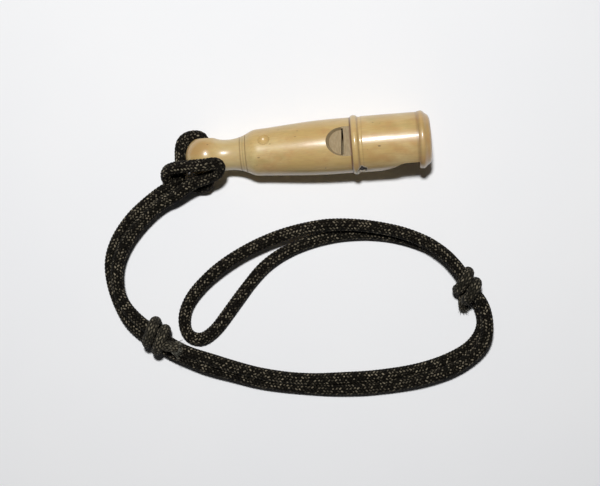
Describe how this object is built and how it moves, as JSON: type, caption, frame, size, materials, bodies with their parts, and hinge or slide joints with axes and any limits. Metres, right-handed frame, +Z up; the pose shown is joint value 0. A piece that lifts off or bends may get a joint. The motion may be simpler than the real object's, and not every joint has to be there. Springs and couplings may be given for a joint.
{
  "type": "training whistle",
  "caption": "Turned bone training whistle with a flanged mouthpiece, on a braided cord lanyard with slide knots and an end loop.",
  "frame": {"origin": "bottom centre of the whistle's bounding box, on the surface it lies on; the lanyard is not counted", "axes": "+X along the whistle from its knob to its mouthpiece, +Z up, the lanyard lies towards -Y"},
  "size_m": [0.1251, 0.094, 0.0203],
  "materials": {
    "bone": "polished turned bone, honey coloured",
    "block": "close-grained plug, matt",
    "pin": "dark horn pin",
    "cord": "braided dark olive and brown cord"
  },
  "bodies": {
    "lanyard": {"cord_outer": "cord", "cord_inner": "cord", "terminal_loop": "cord"},
    "whistle": {"end_finial": "bone", "barrel": "bone", "mouthpiece": "bone", "fipple_block": "block", "block_pin": "pin", "hitch_eye": "cord", "hitch": "cord"},
    "lower_knot": {"lower_knot": "cord", "lower_cord_end": "cord"},
    "upper_knot": {"upper_knot": "cord", "upper_cord_end": "cord"}
  },
  "joints": [
    {"name": "whistle_lift", "type": "hinge", "parent": "lanyard", "child": "whistle", "pos_m": [-0.04555, -0.01115, 0.0092], "axis": [0.4958, -0.8685, 0], "range_deg": [0, 60]},
    {"name": "lower_knot_slide", "type": "hinge", "parent": "lanyard", "child": "lower_knot", "pos_m": [-0.0186, -0.01413, 0.005], "axis": [0, 0, 1], "range_deg": [-6.18, 0]},
    {"name": "upper_knot_slide", "type": "hinge", "parent": "lanyard", "child": "upper_knot", "pos_m": [-0.00439, -0.08394, 0.005], "axis": [0, 0, 1], "range_deg": [-1.79, 5.37]}
  ]
}
